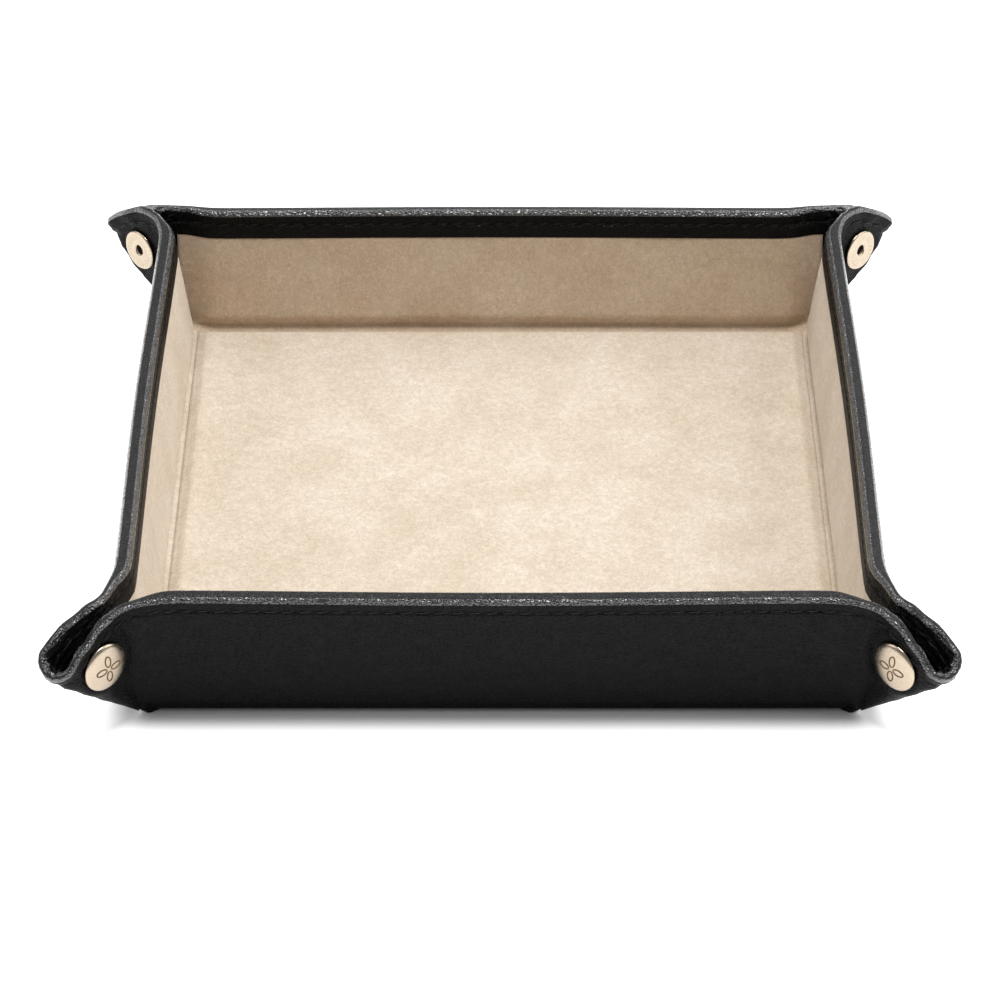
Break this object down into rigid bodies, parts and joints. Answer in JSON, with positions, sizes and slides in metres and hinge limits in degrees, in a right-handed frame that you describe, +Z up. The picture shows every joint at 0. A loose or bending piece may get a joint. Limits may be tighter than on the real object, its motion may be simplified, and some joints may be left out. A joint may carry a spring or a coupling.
{
  "type": "snap-cornered valet tray",
  "caption": "Square black leather catch-all tray with a cream suede lining, outward-leaning walls and pinched corner ears closed by snap fasteners; unsnaps to lie nearly flat.",
  "frame": {"origin": "middle of the underside of the base, on the surface it rests on", "axes": "+X to the right wall, +Y to the back wall, +Z up out of the tray; the front wall faces -Y"},
  "size_m": [0.2154, 0.2148, 0.0378],
  "materials": {
    "black_leather": "grained black leather, satin",
    "suede_lining": "cream suede nap",
    "stiffening_board": "dense grey-brown board",
    "snap_metal": "pale plated metal",
    "spring_steel": "drawn spring wire"
  },
  "bodies": {
    "base": {"base_leather": "black_leather", "base_board": "stiffening_board", "base_lining": "suede_lining"},
    "front_wall": {"front_wall_leather": "black_leather", "front_wall_board": "stiffening_board", "front_wall_lining": "suede_lining"},
    "back_wall": {"back_wall_leather": "black_leather", "back_wall_board": "stiffening_board", "back_wall_lining": "suede_lining"},
    "left_wall": {"left_wall_leather": "black_leather", "left_wall_board": "stiffening_board", "left_wall_lining": "suede_lining"},
    "right_wall": {"right_wall_leather": "black_leather", "right_wall_board": "stiffening_board", "right_wall_lining": "suede_lining"},
    "front_left_ear": {"front_left_ear_leather": "black_leather", "front_left_ear_facing": "black_leather", "front_left_snap_cap": "snap_metal", "front_left_snap_socket": "snap_metal", "front_left_snap_spring": "spring_steel"},
    "front_left_flap": {"front_left_flap_leather": "black_leather", "front_left_flap_facing": "black_leather", "front_left_snap_stud": "snap_metal", "front_left_snap_eyelet": "snap_metal"},
    "front_right_ear": {"front_right_ear_leather": "black_leather", "front_right_ear_facing": "black_leather", "front_right_snap_cap": "snap_metal", "front_right_snap_socket": "snap_metal", "front_right_snap_spring": "spring_steel"},
    "front_right_flap": {"front_right_flap_leather": "black_leather", "front_right_flap_facing": "black_leather", "front_right_snap_stud": "snap_metal", "front_right_snap_eyelet": "snap_metal"},
    "back_left_ear": {"back_left_ear_leather": "black_leather", "back_left_ear_facing": "black_leather", "back_left_snap_cap": "snap_metal", "back_left_snap_socket": "snap_metal", "back_left_snap_spring": "spring_steel"},
    "back_left_flap": {"back_left_flap_leather": "black_leather", "back_left_flap_facing": "black_leather", "back_left_snap_stud": "snap_metal", "back_left_snap_eyelet": "snap_metal"},
    "back_right_ear": {"back_right_ear_leather": "black_leather", "back_right_ear_facing": "black_leather", "back_right_snap_cap": "snap_metal", "back_right_snap_socket": "snap_metal", "back_right_snap_spring": "spring_steel"},
    "back_right_flap": {"back_right_flap_leather": "black_leather", "back_right_flap_facing": "black_leather", "back_right_snap_stud": "snap_metal", "back_right_snap_eyelet": "snap_metal"}
  },
  "joints": [
    {"name": "front_wall_fold", "type": "hinge", "parent": "base", "child": "front_wall", "pos_m": [0, -0.0875, 0], "axis": [1, 0, 0], "range_deg": [0, 70]},
    {"name": "back_wall_fold", "type": "hinge", "parent": "base", "child": "back_wall", "pos_m": [0, 0.0875, 0], "axis": [-1, 0, 0], "range_deg": [0, 70]},
    {"name": "left_wall_fold", "type": "hinge", "parent": "base", "child": "left_wall", "pos_m": [-0.0875, 0, 0], "axis": [0, -1, 0], "range_deg": [0, 70]},
    {"name": "right_wall_fold", "type": "hinge", "parent": "base", "child": "right_wall", "pos_m": [0.0875, 0, 0], "axis": [0, 1, 0], "range_deg": [0, 70]},
    {"name": "front_left_ear_bend", "type": "hinge", "parent": "front_wall", "child": "front_left_ear", "pos_m": [-0.0875, -0.0875, 0], "axis": [0, 0.1392, -0.9903], "range_deg": [0, 52.1]},
    {"name": "front_left_flap_fold", "type": "hinge", "parent": "front_left_ear", "child": "front_left_flap", "pos_m": [-0.0875, -0.0875, 0], "axis": [-0.5349, -0.5349, 0.6541], "range_deg": [0, 165.1]},
    {"name": "front_right_ear_bend", "type": "hinge", "parent": "front_wall", "child": "front_right_ear", "pos_m": [0.0875, -0.0875, 0], "axis": [0, -0.1392, 0.9903], "range_deg": [0, 52.1]},
    {"name": "front_right_flap_fold", "type": "hinge", "parent": "front_right_ear", "child": "front_right_flap", "pos_m": [0.0875, -0.0875, 0], "axis": [-0.5349, 0.5349, -0.6541], "range_deg": [0, 165.1]},
    {"name": "back_left_ear_bend", "type": "hinge", "parent": "back_wall", "child": "back_left_ear", "pos_m": [-0.0875, 0.0875, 0], "axis": [0, 0.1392, 0.9903], "range_deg": [0, 52.1]},
    {"name": "back_left_flap_fold", "type": "hinge", "parent": "back_left_ear", "child": "back_left_flap", "pos_m": [-0.0875, 0.0875, 0], "axis": [0.5349, -0.5349, -0.6541], "range_deg": [0, 165.1]},
    {"name": "back_right_ear_bend", "type": "hinge", "parent": "back_wall", "child": "back_right_ear", "pos_m": [0.0875, 0.0875, 0], "axis": [0, -0.1392, -0.9903], "range_deg": [0, 52.1]},
    {"name": "back_right_flap_fold", "type": "hinge", "parent": "back_right_ear", "child": "back_right_flap", "pos_m": [0.0875, 0.0875, 0], "axis": [0.5349, 0.5349, 0.6541], "range_deg": [0, 165.1]}
  ],
  "couplings": [
    {"joint": "back_wall_fold", "follows": "front_wall_fold", "ratio": 1},
    {"joint": "left_wall_fold", "follows": "front_wall_fold", "ratio": 1},
    {"joint": "right_wall_fold", "follows": "front_wall_fold", "ratio": 1},
    {"joint": "front_left_ear_bend", "follows": "front_wall_fold", "ratio": 0.7436},
    {"joint": "front_left_flap_fold", "follows": "front_wall_fold", "ratio": 2.3574},
    {"joint": "front_right_ear_bend", "follows": "front_wall_fold", "ratio": 0.7436},
    {"joint": "front_right_flap_fold", "follows": "front_wall_fold", "ratio": 2.3574},
    {"joint": "back_left_ear_bend", "follows": "front_wall_fold", "ratio": 0.7436},
    {"joint": "back_left_flap_fold", "follows": "front_wall_fold", "ratio": 2.3574},
    {"joint": "back_right_ear_bend", "follows": "front_wall_fold", "ratio": 0.7436},
    {"joint": "back_right_flap_fold", "follows": "front_wall_fold", "ratio": 2.3574}
  ]
}
